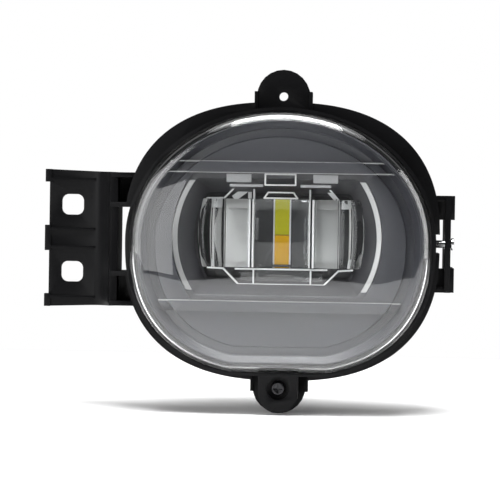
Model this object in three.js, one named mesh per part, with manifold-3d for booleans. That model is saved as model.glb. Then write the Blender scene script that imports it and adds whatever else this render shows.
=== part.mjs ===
// LED fog light on its flippable mounting bracket. Millimetres, +Z up.
// +X is right as seen from the front, and the lamp shines towards -Y.
// The origin is on the rear mounting face of the left ear, midway between its two square holes.
import * as THREE from 'three';
import { mergeVertices } from 'three/addons/utils/BufferGeometryUtils.js';
import Module from 'manifold-3d';

const wasm = await Module();
wasm.setup();

// ---------- driving dimensions ----------
const GAP = 0.3;               // clearance between pieces that seat on each other
const RUNNING = 0.5;           // clearance round pieces that turn or slide

// Lamp rim outline, seen from the front
const RIM_HALF_W = 81;
const RIM_UP = 70;
const RIM_FLAT = RIM_UP;       // level of the flat underside
const RIM_DOWN = RIM_FLAT + 2; // reach of the lower curve before it is cut flat
const POWER_UP = 2;            // a plain ellipse above
const POWER_DOWN = 2.4;        // a fuller curve below

// Places along Y, front to rear
const LENS_FRONT = -50;
const RIM_FRONT = -37;
const RIM_REAR = -28;
const FLANGE_FRONT = -21;      // front face of the bracket ring and its tabs
const EAR_REAR = 0;            // mounting face
const RING_REAR = 18;
const BUCKET_REAR = 31;

// Bracket
const RING_HALF_W = RIM_HALF_W + 2.5;
const RING_HALF_H = RIM_UP + 3.5;
const RING_POWER = 2.5;
const WALL = 3;                // bracket wall
const FLANGE_REACH = 5;        // how far the ring flange hides behind the lamp rim
const TAB_Z = RING_HALF_H + 3; // adjuster hole, above and below the lamp centre
const TAB_RADIUS = 14;
const TAB_HOLE = 4.8;
const TAB_RIB_W = 1.6;
const TAB_RIB_PROUD = 1.5;

// Left ear
const EAR_SPAN = 32;           // from the square holes to the edge of the lamp rim
const LAMP_X = RIM_HALF_W + EAR_SPAN;   // lamp centre line, right of the origin
const EAR_LEFT = -12.5;        // edge of the plate, left of the square holes
const EAR_RIGHT = 14;          // where the plate turns forward
const EAR_HALF_H = 36.8;
const EAR_NECK_HALF_H = 35.4;
const EAR_PLATE = 3.5;
const BOLT_PITCH = 36;
const BOLT_HOLE_W = 12;
const BOLT_HOLE_H = 11;
const BOLT_HOLE_CORNER = 3.6;
const LIP_REACH = 2.2;
const LIP_H = 6.8;
const EAR_RIB_ZS = [31.6, 4.9, -4.9, -31.6];
const RIB_PROUD = 1.3;
const WINDOW_HALF_H = 17;
const WINDOW_LEFT = -(RIM_HALF_W + 6.3);   // from the lamp centre
const WINDOW_RIGHT = -(RIM_HALF_W - 2);

// Right ear
const SIDE_WALL_X = RIM_HALF_W + 5;        // inner face of its upright wall, from the lamp centre
const SIDE_HALF_H = 25.5;
const SIDE_PAD = 2.1;          // pads stand this far off the wall
const SIDE_PAD_H = 12.7;

// Pivots and adjuster
const PIVOT_Y = FLANGE_FRONT + 3.5;   // level with the middle of the tab that the adjuster passes
const PIN_R = 2;
const BUSH_R = 4;
const ADJ_SHANK_R = 1.8;
const ADJ_HEAD_R = 3.7;
const ADJ_RECESS_R = 6;
const LOBE_HALF_W = 10.4;
const LOBE_FRONT = -36;
const LOBE_REAR = -29.5;

// Lamp shell
const SHELL = 2.2;             // housing wall
const LENS_WALL = 2.5;
const BUCKET_INSET = 8;        // bucket mouth, inside the rim outline
const BUCKET_TAIL = 19;        // bucket rear, inside the rim outline

// Light engine
const OPTIC_Z = 4.2;           // its centre line, above the lamp centre
const OPTIC_HALF_W = 43;
const OPTIC_HALF_H = 18;
const BARREL_HALF_W = 14.3;
const LED_HALF_W = 3.9;
const LED_SPLIT_Z = 3.4;
const LED_TOP_Z = 20.3;
const LED_BOTTOM_Z = -10.5;
const BOARD_T = 1.6;
const BOARD_FRONT = -6;
const PAD_T = 1;

// Heat sink
const SINK_HALF_W = 32;
const SINK_HALF_H = 28;
const SINK_BASE = 4;
const SINK_OPEN_HALF_W = 23;
const SINK_OPEN_HALF_H = 21;
const FIN_COUNT = 9;
const FIN_T = 1.8;
const FIN_DEPTH = 23;
const SEAL_T = 1;

const OUTLINE_POINTS = 56;
const ROUND = 20;              // sides of a small round piece

// ---------- solids ----------
function solid(geometry) {
  const bare = geometry.clone();
  bare.deleteAttribute('normal');
  bare.deleteAttribute('uv');
  const merged = mergeVertices(bare, 1e-4);
  return new wasm.Manifold(new wasm.Mesh({
    numProp: 3,
    vertProperties: new Float32Array(merged.attributes.position.array),
    triVerts: new Uint32Array(merged.index.array),
  }));
}

function union(first, ...others) {
  return others.reduce((sum, other) => sum.add(other), first);
}

function cut(first, ...others) {
  return others.reduce((rest, other) => rest.subtract(other), first);
}

function block(x0, x1, y0, y1, z0, z1) {
  const geometry = new THREE.BoxGeometry(x1 - x0, y1 - y0, z1 - z0);
  geometry.translate((x0 + x1) / 2, (y0 + y1) / 2, (z0 + z1) / 2);
  return solid(geometry);
}

// A cylinder or cone along Y from y0 to y1.
function rodY(radius, y0, y1, x, z, rearRadius = radius, sides = ROUND) {
  const geometry = new THREE.CylinderGeometry(rearRadius, radius, y1 - y0, sides);
  geometry.translate(x, (y0 + y1) / 2, z);
  return solid(geometry);
}

// Equal cylinders along Y at several places [x, z], all raised by lift.
function rodsY(places, radius, y0, y1, lift = 0, sides = 10) {
  return places.map(([x, z]) => rodY(radius, y0, y1, x, z + lift, radius, sides));
}

// A cylinder along X from x0 to x1.
function rodX(radius, x0, x1, y, z, sides = ROUND) {
  const geometry = new THREE.CylinderGeometry(radius, radius, x1 - x0, sides);
  geometry.rotateZ(Math.PI / 2);
  geometry.translate((x0 + x1) / 2, y, z);
  return solid(geometry);
}

// An outline drawn in X and Z, given thickness from y0 to y1.
function slab(shape, y0, y1, curveSegments = 6) {
  const options = { depth: y1 - y0, bevelEnabled: false, curveSegments };
  const geometry = new THREE.ExtrudeGeometry(shape, options);
  geometry.rotateX(Math.PI / 2);
  geometry.translate(0, y1, 0);
  return solid(geometry);
}

// An outline drawn in X and Y, given height from z0 to z1.
function upright(shape, z0, z1, curveSegments = 6) {
  const options = { depth: z1 - z0, bevelEnabled: false, curveSegments };
  const geometry = new THREE.ExtrudeGeometry(shape, options);
  geometry.translate(0, 0, z0);
  return solid(geometry);
}

// A convex solid skinned over closed rings of equal length, front ring first.
function loft(rings) {
  const count = rings[0].length;
  const positions = [];
  for (const ring of rings) {
    for (const point of ring) positions.push(point.x, point.y, point.z);
  }
  const index = [];
  for (let row = 0; row + 1 < rings.length; row += 1) {
    for (let i = 0; i < count; i += 1) {
      const next = (i + 1) % count;
      const a = row * count + i;
      const b = row * count + next;
      index.push(a, a + count, b, b, a + count, b + count);
    }
  }
  const last = (rings.length - 1) * count;
  for (let i = 1; i + 1 < count; i += 1) {
    index.push(0, i, i + 1);
    index.push(last, last + i + 1, last + i);
  }
  const geometry = new THREE.BufferGeometry();
  geometry.setAttribute('position', new THREE.Float32BufferAttribute(positions, 3));
  geometry.setIndex(index);
  return solid(geometry);
}

// ---------- outlines ----------
function superPoint(turn, halfW, halfH, power) {
  const c = Math.cos(turn);
  const s = Math.sin(turn);
  return new THREE.Vector2(
    halfW * Math.sign(c) * Math.abs(c) ** (2 / power),
    halfH * Math.sign(s) * Math.abs(s) ** (2 / power),
  );
}

// The lamp outline drawn in by an inset and then scaled about the lamp centre.
function lampOutline(inset, scale = 1) {
  const points = [];
  for (let i = 0; i < OUTLINE_POINTS; i += 1) {
    const turn = (i / OUTLINE_POINTS) * Math.PI * 2;
    const up = Math.sin(turn) >= 0;
    const reach = up ? RIM_UP : RIM_DOWN;
    const point = superPoint(turn, RIM_HALF_W - inset, reach - inset, up ? POWER_UP : POWER_DOWN);
    point.y = Math.max(point.y, -(RIM_FLAT - inset));
    points.push(point.multiplyScalar(scale));
  }
  return points;
}

function ringOutline(inset) {
  const points = [];
  for (let i = 0; i < OUTLINE_POINTS; i += 1) {
    const turn = (i / OUTLINE_POINTS) * Math.PI * 2;
    points.push(superPoint(turn, RING_HALF_W - inset, RING_HALF_H - inset, RING_POWER));
  }
  return points;
}

function atY(points, y) {
  return points.map((point) => new THREE.Vector3(point.x, y, point.y));
}

function shapeWithHole(outer, inner) {
  const shape = new THREE.Shape(outer);
  shape.holes.push(new THREE.Path(inner));
  return shape;
}

function roundedBox(x, z, width, height, radius) {
  const shape = new THREE.Shape();
  const w = width / 2 - radius;
  const h = height / 2 - radius;
  shape.absarc(x + w, z + h, radius, 0, Math.PI / 2);
  shape.absarc(x - w, z + h, radius, Math.PI / 2, Math.PI);
  shape.absarc(x - w, z - h, radius, Math.PI, Math.PI * 1.5);
  shape.absarc(x + w, z - h, radius, Math.PI * 1.5, Math.PI * 2);
  return shape;
}

// A tab with straight sides and a round end, from the level fromZ out to the centre of the arch.
function archShape(halfW, fromZ, archZ, radius) {
  const out = Math.sign(archZ);
  const shape = new THREE.Shape();
  shape.moveTo(-halfW, fromZ);
  shape.lineTo(halfW, fromZ);
  shape.lineTo(halfW, archZ);
  shape.absarc(0, archZ, radius, 0, Math.PI * out, out < 0);
  shape.lineTo(-halfW, archZ);
  return shape;
}

// ---------- bracket ----------
// Everything below is drawn from the lamp centre line, so the ear sits at negative X.
const EAR_X = -LAMP_X;
const TAB_REAR = FLANGE_FRONT + WALL;
const BAR_REAR = PIVOT_Y + PIN_R + 4;
const ARM_LEFT = WINDOW_LEFT - 4;

function bracketRing() {
  const flangeHole = lampOutline(FLANGE_REACH);
  const flange = slab(shapeWithHole(ringOutline(0), flangeHole), FLANGE_FRONT, TAB_REAR);
  const wall = slab(shapeWithHole(ringOutline(0), ringOutline(WALL)), TAB_REAR - 1, RING_REAR);
  return flange.add(wall);
}

// Tab with its adjuster hole: side 1 is the top and side -1 the bottom.
function tab(side) {
  const archZ = side * TAB_Z;
  const root = side * (RING_HALF_H - 8);
  const plate = slab(archShape(TAB_RADIUS, root, archZ, TAB_RADIUS), FLANGE_FRONT, TAB_REAR);
  const boss = rodY(TAB_HOLE / 2 + 2.5, TAB_REAR - 1, TAB_REAR + 4, 0, archZ);
  const rimOuter = archShape(TAB_RADIUS, root, archZ, TAB_RADIUS);
  const rimInner = archShape(TAB_RADIUS - 2, root - side, archZ, TAB_RADIUS - 2);
  const rim = cut(slab(rimOuter, FLANGE_FRONT, TAB_REAR + 9), slab(rimInner, TAB_REAR, TAB_REAR + 10));
  let body = union(plate, boss, rim);
  for (const x of [-TAB_RADIUS - TAB_RIB_W + 0.4, TAB_RADIUS - 0.4]) {
    const low = Math.min(side * (RING_HALF_H - 4), side * (TAB_Z + 2.5));
    const high = Math.max(side * (RING_HALF_H - 4), side * (TAB_Z + 2.5));
    body = body.add(block(x, x + TAB_RIB_W, FLANGE_FRONT - TAB_RIB_PROUD, TAB_REAR + 9, low, high));
  }
  return body;
}

function tabHole(side) {
  return rodY(TAB_HOLE / 2, FLANGE_FRONT - 5, TAB_REAR + 12, 0, side * TAB_Z);
}

// Plan outline of the ear plate, the curved wall that turns forward and the upright window wall.
function earPlan() {
  const turnX = EAR_X + EAR_RIGHT;
  const plan = new THREE.Shape();
  plan.moveTo(EAR_X + EAR_LEFT, EAR_REAR);
  plan.lineTo(EAR_X + EAR_LEFT, EAR_REAR - EAR_PLATE);
  plan.lineTo(turnX - EAR_PLATE, EAR_REAR - EAR_PLATE);
  plan.quadraticCurveTo(turnX + 3, EAR_REAR - EAR_PLATE - 2, ARM_LEFT, PIVOT_Y + 1);
  plan.lineTo(WINDOW_LEFT, PIVOT_Y + 1);
  plan.lineTo(WINDOW_LEFT, EAR_REAR + 8);
  plan.lineTo(ARM_LEFT + 1, EAR_REAR + 8);
  plan.lineTo(ARM_LEFT + 1, EAR_REAR - 8);
  plan.quadraticCurveTo(turnX + 5, EAR_REAR, turnX, EAR_REAR);
  return plan;
}

function earSilhouette() {
  const shape = new THREE.Shape();
  shape.moveTo(EAR_X + EAR_LEFT - 1, EAR_HALF_H);
  shape.lineTo(WINDOW_LEFT + 1, EAR_NECK_HALF_H);
  shape.lineTo(WINDOW_LEFT + 1, -EAR_NECK_HALF_H);
  shape.lineTo(EAR_X + EAR_LEFT - 1, -EAR_HALF_H);
  return shape;
}

function leftEar() {
  const blank = upright(earPlan(), -EAR_HALF_H, EAR_HALF_H);
  let ear = blank.intersect(slab(earSilhouette(), -60, 60));
  const edge = EAR_X + EAR_LEFT;
  const right = EAR_X + EAR_RIGHT - 2;
  const face = EAR_REAR - EAR_PLATE;
  const lips = [[EAR_HALF_H - LIP_H, EAR_HALF_H], [-LIP_H, LIP_H], [-EAR_HALF_H, LIP_H - EAR_HALF_H]];
  for (const [low, high] of lips) {
    ear = ear.add(block(edge - LIP_REACH, edge + 1, face - RIB_PROUD, EAR_REAR, low, high));
  }
  for (const z of EAR_RIB_ZS) {
    ear = ear.add(block(edge, right, face - RIB_PROUD, face + 1, z - 0.7, z + 0.7));
  }
  for (const z of [BOLT_PITCH / 2, -BOLT_PITCH / 2]) {
    const square = roundedBox(EAR_X, z, BOLT_HOLE_W, BOLT_HOLE_H, BOLT_HOLE_CORNER);
    ear = ear.subtract(slab(square, EAR_REAR - 10, EAR_REAR + 5, 4));
  }
  return ear;
}

// Upper and lower arms from the ear to the ring, each a channel open to the front.
function arm(side) {
  const right = -RING_HALF_W + 12;
  const level = (a, b) => [Math.min(side * a, side * b), Math.max(side * a, side * b)];
  const [webLow, webHigh] = level(WINDOW_HALF_H, EAR_NECK_HALF_H);
  const [topLow, topHigh] = level(EAR_NECK_HALF_H - 2.6, EAR_NECK_HALF_H);
  const [ribLow, ribHigh] = level(WINDOW_HALF_H, WINDOW_HALF_H + 2.6);
  const web = block(ARM_LEFT, right, EAR_REAR - 6, EAR_REAR - 3, webLow, webHigh);
  const top = block(ARM_LEFT, right, PIVOT_Y, EAR_REAR + 8, topLow, topHigh);
  const rib = block(ARM_LEFT, right, PIVOT_Y, EAR_REAR + 8, ribLow, ribHigh);
  return union(web, top, rib);
}

function rightEar() {
  const outer = SIDE_WALL_X + WALL;
  let ear = block(SIDE_WALL_X, outer, FLANGE_FRONT, RING_REAR + 4, -SIDE_HALF_H, SIDE_HALF_H);
  for (const side of [1, -1]) {
    const low = Math.min(side * SIDE_HALF_H, side * (SIDE_HALF_H - SIDE_PAD_H));
    const high = Math.max(side * SIDE_HALF_H, side * (SIDE_HALF_H - SIDE_PAD_H));
    const flangeLow = Math.min(side * SIDE_HALF_H, side * (SIDE_HALF_H - WALL));
    const flangeHigh = Math.max(side * SIDE_HALF_H, side * (SIDE_HALF_H - WALL));
    ear = ear.add(block(outer - 1, outer + SIDE_PAD, FLANGE_FRONT + 4, RING_REAR + 4, low, high));
    ear = ear.add(block(RING_HALF_W - 14, outer, FLANGE_FRONT + 2, RING_REAR, flangeLow, flangeHigh));
    ear = ear.add(block(RING_HALF_W - 8, outer, FLANGE_FRONT + 4, TAB_REAR + 4, low, high));
  }
  return ear;
}

// Upright bar behind the rim that carries the left pivot pin.
function pivotBar() {
  const left = WINDOW_RIGHT;
  return block(left, left + 3.5, FLANGE_FRONT, BAR_REAR, -WINDOW_HALF_H - 9, WINDOW_HALF_H + 9);
}

function bracket() {
  const swing = slab(new THREE.Shape(ringOutline(WALL)), TAB_REAR, 40);
  const mouth = slab(new THREE.Shape(lampOutline(FLANGE_REACH)), FLANGE_FRONT - 5, 40);
  const leftWindow = block(WINDOW_LEFT, WINDOW_RIGHT, -60, 60, -WINDOW_HALF_H, WINDOW_HALF_H);
  const rightWindow = block(BOSS_X, SIDE_WALL_X, -60, 60, -5, 5);
  const outside = union(leftEar(), arm(1), arm(-1), rightEar(), tab(1), tab(-1));
  const body = union(cut(outside, swing, mouth), bracketRing());
  const opened = cut(body, leftWindow, rightWindow, tabHole(1), tabHole(-1)).add(pivotBar());
  const leftBore = rodX(PIN_R + GAP, WINDOW_RIGHT - 1, WINDOW_RIGHT + 5, PIVOT_Y, 0);
  const rightBore = rodX(PIN_R + GAP, SIDE_WALL_X - 1, SIDE_WALL_X + WALL + SIDE_PAD + 1, PIVOT_Y, 0);
  return cut(opened, leftBore, rightBore);
}

// ---------- pivots and adjuster ----------
const BOSS_X = RIM_HALF_W - 6.5;          // outer face of the pivot bosses
const BOSS_DEPTH = 9.5;
const BOSS_R = BUSH_R + 2.6;
const PIN_HEAD_T = 1.5;
const PIN_INNER_X = BOSS_X - BOSS_DEPTH + 2;

// headX is the face that the pin's head rests on, and side is 1 on the right, -1 on the left.
function pivotPin(side, headX) {
  const under = headX + GAP;
  const shank = [PIN_INNER_X * side, (under + 0.5) * side].sort((a, b) => a - b);
  const head = [under * side, (under + PIN_HEAD_T) * side].sort((a, b) => a - b);
  return union(
    rodX(PIN_R, shank[0], shank[1], PIVOT_Y, 0),
    rodX(PIN_R + 1.2, head[0], head[1], PIVOT_Y, 0),
  );
}

function pivotBush(side) {
  const ends = [(BOSS_X - BOSS_DEPTH + GAP) * side, BOSS_X * side].sort((a, b) => a - b);
  const sleeve = rodX(BUSH_R, ends[0], ends[1], PIVOT_Y, 0);
  return cut(sleeve, rodX(PIN_R + RUNNING / 2, ends[0] - 1, ends[1] + 1, PIVOT_Y, 0));
}

const HEAD_SEAT = LOBE_REAR - 2;          // floor of the recess that the screw head sits on
const SCREW_TIP = TAB_REAR + 10;
const RETAINER_T = 1;

function adjusterScrew() {
  const z = -TAB_Z;
  const headTop = HEAD_SEAT - GAP - 3.2;
  const head = rodY(ADJ_HEAD_R - 0.5, headTop, HEAD_SEAT - GAP, 0, z, ADJ_HEAD_R);
  const shank = rodY(ADJ_SHANK_R, HEAD_SEAT - 1, SCREW_TIP, 0, z);
  const slotA = block(-2.4, 2.4, headTop - 1, headTop + 1.6, z - 0.45, z + 0.45);
  const slotB = block(-0.45, 0.45, headTop - 1, headTop + 1.6, z - 2.4, z + 2.4);
  return cut(union(head, shank), slotA, slotB);
}

function adjusterRetainer() {
  const front = LOBE_REAR + GAP;
  const disc = rodY(ADJ_SHANK_R + 2.4, front, front + RETAINER_T, 0, -TAB_Z);
  return cut(disc, rodY(ADJ_SHANK_R + GAP, front - 1, front + RETAINER_T + 1, 0, -TAB_Z));
}

// ---------- lamp shell ----------
const CHANNEL_OUT = 2;                    // the lens channel, measured in from the rim outline
const LENS_INSET = CHANNEL_OUT + GAP;
const CHANNEL_IN = LENS_INSET + LENS_WALL + RUNNING;
const CHANNEL_FLOOR = RIM_REAR - 2;
const RIM_INNER = CHANNEL_IN + 2;
const INNER_WALL_FRONT = RIM_FRONT + 3;
const POST_R = 3.5;
const SINK_Z = OPTIC_Z;
const HOLDER_POSTS = [[-35.5, -28.2], [35.5, -28.2], [-35.5, 26.2], [35.5, 26.2]];
const HOLDER_BORE_R = 1.5;
const HOLDER_T = 2;
const HOLDER_REAR = BOARD_FRONT + 0.2;
const FIN_PITCH = (2 * SINK_HALF_W - FIN_T) / (FIN_COUNT - 1);
const SINK_SCREW_X = SINK_HALF_W - (FIN_PITCH + FIN_T) / 2;   // midway between the two outer fins
const SINK_SCREW_Z = SINK_HALF_H - 4;
const SINK_SCREW_HEAD_R = 2.6;
const SINK_SCREWS = [
  [-SINK_SCREW_X, -SINK_SCREW_Z],
  [SINK_SCREW_X, -SINK_SCREW_Z],
  [-SINK_SCREW_X, SINK_SCREW_Z],
  [SINK_SCREW_X, SINK_SCREW_Z],
];
const SINK_BORE_R = 1.6;
const DRIVER_FRONT = 20;
const DRIVER_LEFT = -(RIM_HALF_W - 30);   // the board follows the bucket that it stands in
const DRIVER_RIGHT = -27;
const DRIVER_TOP = 20;
const DRIVER_BOTTOM = -18;
const DRIVER_POSTS = [[DRIVER_LEFT + 4, DRIVER_TOP - 4], [DRIVER_RIGHT - 4, DRIVER_BOTTOM + 4]];
const DRIVER_BORE_R = 1.2;
const SOCKET_X = -46;
const SOCKET_Z = 2;
const CONTACT_PITCH = 6;
const CONTACT_R = 0.8;
const VENT = [46, -14];
const VENT_STEM_R = 2.5;

function bucketSkin(wall, front, rear) {
  return loft([
    atY(lampOutline(BUCKET_INSET + wall), front),
    atY(lampOutline(BUCKET_TAIL + wall), rear),
  ]);
}

function lobe() {
  const archZ = -(TAB_Z + 2.5);
  return slab(archShape(LOBE_HALF_W, -(RIM_FLAT - 4), archZ, LOBE_HALF_W), LOBE_FRONT, LOBE_REAR);
}

function contactPlaces() {
  return [-CONTACT_PITCH / 2, CONTACT_PITCH / 2].map((offset) => [SOCKET_X + offset, SOCKET_Z]);
}

function housingPosts() {
  const wallFace = BUCKET_REAR - SHELL - 0.5;
  return [
    ...rodsY(HOLDER_POSTS, POST_R, HOLDER_REAR + GAP, wallFace + 1, OPTIC_Z, 12),
    ...rodsY(SINK_SCREWS, POST_R - 0.3, BUCKET_REAR - 9, wallFace + 1, SINK_Z, 12),
    ...rodsY(DRIVER_POSTS, POST_R - 0.5, DRIVER_FRONT + BOARD_T + GAP, wallFace + 1, 0, 12),
  ];
}

function housingHoles() {
  const wallFront = BUCKET_REAR - 5;
  const beyond = BUCKET_REAR + 1;
  return [
    ...rodsY(HOLDER_POSTS, HOLDER_BORE_R, HOLDER_REAR - 1, HOLDER_REAR + 12, OPTIC_Z),
    ...rodsY(SINK_SCREWS, SINK_BORE_R, BUCKET_REAR - 10, beyond, SINK_Z),
    ...rodsY(DRIVER_POSTS, DRIVER_BORE_R, DRIVER_FRONT, DRIVER_FRONT + 7),
    ...rodsY(contactPlaces(), CONTACT_R + GAP, wallFront, beyond, 0, 8),
    rodY(VENT_STEM_R + GAP, wallFront, beyond, VENT[0], VENT[1]),
  ];
}

function housing() {
  const rimShape = shapeWithHole(lampOutline(0), lampOutline(BUCKET_INSET + SHELL));
  const channelShape = shapeWithHole(lampOutline(CHANNEL_OUT), lampOutline(CHANNEL_IN));
  const rim = slab(rimShape, RIM_FRONT, RIM_REAR);
  const channel = slab(channelShape, RIM_FRONT - 1, CHANNEL_FLOOR);
  const mouth = slab(new THREE.Shape(lampOutline(CHANNEL_IN - 0.5)), RIM_FRONT - 1, INNER_WALL_FRONT);
  const floor = slab(new THREE.Shape(lampOutline(RIM_INNER)), RIM_FRONT - 1, CHANNEL_FLOOR);
  const bucket = bucketSkin(0, RIM_REAR - 1, BUCKET_REAR);
  const hollow = bucketSkin(SHELL, RIM_REAR - 2, BUCKET_REAR - SHELL);
  const sinkOpening = block(-SINK_OPEN_HALF_W, SINK_OPEN_HALF_W, BUCKET_REAR - 6, BUCKET_REAR + 1,
    SINK_Z - SINK_OPEN_HALF_H, SINK_Z + SINK_OPEN_HALF_H);
  const bossIn = BOSS_X - BOSS_DEPTH - 3;
  const bosses = rodX(BOSS_R, -BOSS_X, -bossIn, PIVOT_Y, 0)
    .add(rodX(BOSS_R, bossIn, BOSS_X, PIVOT_Y, 0));
  const recess = rodY(ADJ_RECESS_R, LOBE_FRONT - 1, HEAD_SEAT, 0, -TAB_Z);
  const screwHole = rodY(ADJ_SHANK_R + RUNNING, LOBE_FRONT, LOBE_REAR + 1, 0, -TAB_Z);
  const bushBore = BUSH_R + GAP;
  const bushIn = BOSS_X - BOSS_DEPTH;
  const bushes = rodX(bushBore, -BOSS_X - 1, -bushIn, PIVOT_Y, 0)
    .add(rodX(bushBore, bushIn, BOSS_X + 1, PIVOT_Y, 0));
  const shell = cut(union(rim, lobe(), bucket), channel, mouth, floor, hollow, sinkOpening);
  return cut(union(shell, bosses, ...housingPosts()), ...housingHoles(), recess, screwHole, bushes);
}

// The clear cover: a skirt, a rounded edge and a shallow crown.
const LENS_EDGE = [[0, 10], [0.9, 7], [3.2, 5]];   // inset, and distance behind the top of the crown
const LENS_CROWN = [[0.92, 3.6], [0.75, 2], [0.5, 0.8], [0.22, 0.1]];   // scale, and the same distance

function lensSkin(inset, back, skirtRear) {
  const edgeInset = inset + LENS_EDGE[LENS_EDGE.length - 1][0];
  const front = LENS_FRONT + back;
  const crown = LENS_CROWN.map(([scale, y]) => atY(lampOutline(edgeInset, scale), front + y));
  const edge = LENS_EDGE.map(([step, y]) => atY(lampOutline(inset + step), front + y));
  return loft([...crown.reverse(), ...edge.reverse(), atY(lampOutline(inset), skirtRear)]);
}

const SEAL_FRONT = CHANNEL_FLOOR - GAP - SEAL_T;
const SKIRT_REAR = SEAL_FRONT - GAP;

function outerLens() {
  const outside = lensSkin(LENS_INSET, 0, SKIRT_REAR);
  return outside.subtract(lensSkin(LENS_INSET + LENS_WALL, LENS_WALL, SKIRT_REAR + 1));
}

function lensSeal() {
  const shape = shapeWithHole(lampOutline(LENS_INSET), lampOutline(LENS_INSET + LENS_WALL));
  return slab(shape, SEAL_FRONT, SEAL_FRONT + SEAL_T);
}

// ---------- bezel ----------
const BEZEL_INSET = RIM_INNER + GAP;
const BEZEL_T = 1.6;
const BEZEL_FRONT = -39;
const BEZEL_REAR = CHANNEL_FLOOR - GAP;
const APERTURE_R = 53;
const APERTURE_TOP = 36;
const APERTURE_BOTTOM = -31;
const COLLAR_REAR = -12;
const SHELF_H = 5.4;
const SHELF_FRONT = -35;

function apertureShape(grow) {
  const radius = APERTURE_R + grow;
  const up = Math.asin((APERTURE_TOP + grow - SINK_Z / 2) / radius);
  const down = Math.asin((APERTURE_BOTTOM - grow - SINK_Z / 2) / radius);
  const shape = new THREE.Shape();
  shape.absarc(0, SINK_Z / 2, radius, down, up);
  shape.absarc(0, SINK_Z / 2, radius, Math.PI - up, Math.PI - down);
  return shape;
}

function innerBezel() {
  const inside = lampOutline(BEZEL_INSET + BEZEL_T);
  const skirt = slab(shapeWithHole(lampOutline(BEZEL_INSET), inside), BEZEL_FRONT, BEZEL_REAR);
  const plate = slab(new THREE.Shape(lampOutline(BEZEL_INSET + 0.5)), BEZEL_REAR - BEZEL_T, BEZEL_REAR);
  const room = bucketSkin(SHELL + RUNNING, RIM_REAR - 6, BUCKET_REAR);   // clear of the bucket wall
  const collar = slab(apertureShape(BEZEL_T), BEZEL_REAR - BEZEL_T, COLLAR_REAR).intersect(room);
  const shelf = (low) => block(-RIM_HALF_W, RIM_HALF_W, SHELF_FRONT, BEZEL_REAR - 1, low, low + SHELF_H);
  const limit = slab(new THREE.Shape(lampOutline(BEZEL_INSET + 0.5)), -60, 40);
  const shelves = shelf(APERTURE_TOP).add(shelf(APERTURE_BOTTOM - SHELF_H)).intersect(limit);
  const opening = slab(apertureShape(0), -60, 40);
  return cut(union(skirt, plate, collar, shelves), opening);
}

// ---------- light engine ----------
const OPTIC_REAR = -10;
const WING_FRONT = -22;
const BARREL_Y = -14;
const TRAY_FRONT = -18;
const REFLECTOR_IN = BARREL_HALF_W + 3;
const REFLECTOR_OUT = 30.3;
const REFLECTOR_T = 1;

function traySide(side) {
  const near = side * (OPTIC_HALF_H - 1);
  const edge = side * (OPTIC_HALF_H + 1);
  const far = side * (OPTIC_HALF_H + 8);
  const shape = new THREE.Shape();
  shape.moveTo(-30.4, OPTIC_Z + near);
  shape.lineTo(-30.4, OPTIC_Z + edge);
  shape.lineTo(-23, OPTIC_Z + far);
  shape.lineTo(23, OPTIC_Z + far);
  shape.lineTo(30.4, OPTIC_Z + edge);
  shape.lineTo(30.4, OPTIC_Z + near);
  return slab(shape, TRAY_FRONT, OPTIC_REAR - 1);
}

function optic() {
  const corner = OPTIC_HALF_W - 4.5;
  const bulge = OPTIC_HALF_W + 4.5;
  const top = OPTIC_Z + OPTIC_HALF_H;
  const bottom = OPTIC_Z - OPTIC_HALF_H;
  const wings = new THREE.Shape();
  wings.moveTo(-corner, bottom);
  wings.lineTo(corner, bottom);
  wings.quadraticCurveTo(bulge, OPTIC_Z, corner, top);
  wings.lineTo(-corner, top);
  wings.quadraticCurveTo(-bulge, OPTIC_Z, -corner, bottom);
  const body = slab(wings, WING_FRONT, OPTIC_REAR, 8);
  const barrel = rodX(OPTIC_HALF_H, -BARREL_HALF_W, BARREL_HALF_W, BARREL_Y, OPTIC_Z, 32);
  const behind = block(-60, 60, OPTIC_REAR, 40, -60, 60);
  return cut(union(body, barrel, traySide(1), traySide(-1)), behind);
}

function reflector(side) {
  const ends = [side * REFLECTOR_IN, side * REFLECTOR_OUT].sort((a, b) => a - b);
  const front = HOLDER_REAR - HOLDER_T - GAP - REFLECTOR_T;
  const low = OPTIC_Z - OPTIC_HALF_H;
  return block(ends[0], ends[1], front, front + REFLECTOR_T, low, low + 2 * OPTIC_HALF_H);
}

const BOARD_HALF_W = 15;
const BOARD_HALF_H = 19.5;
const PAD_FRONT = BOARD_FRONT + BOARD_T + GAP;
const PEDESTAL_FRONT = PAD_FRONT + PAD_T + GAP;
const BOARD_SCREWS = [[11, 16.5], [-11, -16.5]];
const BOARD_BORE_R = 1.4;

function opticHolder() {
  const plate = roundedBox(0, OPTIC_Z - 1, 2 * 41, 2 * 32, 6);
  plate.holes.push(roundedBox(0, OPTIC_Z, 2 * (BOARD_HALF_W + GAP), 2 * (BOARD_HALF_H + GAP), 1));
  const frame = slab(plate, HOLDER_REAR - HOLDER_T, HOLDER_REAR, 3);
  const holes = rodsY(HOLDER_POSTS, HOLDER_BORE_R, HOLDER_REAR - 4, HOLDER_REAR + 1, OPTIC_Z);
  return cut(frame, ...holes);
}

// A pan-head screw whose head faces -Y; seat is the face under its head.
function panScrew(x, z, seat, shankR, length) {
  const headR = shankR * 2;
  const under = seat - GAP;
  const head = rodY(headR - 0.5, under - shankR * 1.3, under, x, z, headR, 12);
  const shank = rodY(shankR, under - 0.2, under + length, x, z, shankR, 10);
  const slot = block(x - headR * 0.6, x + headR * 0.6, under - 9, under - shankR, z - 0.25, z + 0.25);
  return cut(union(head, shank), slot);
}

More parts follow.
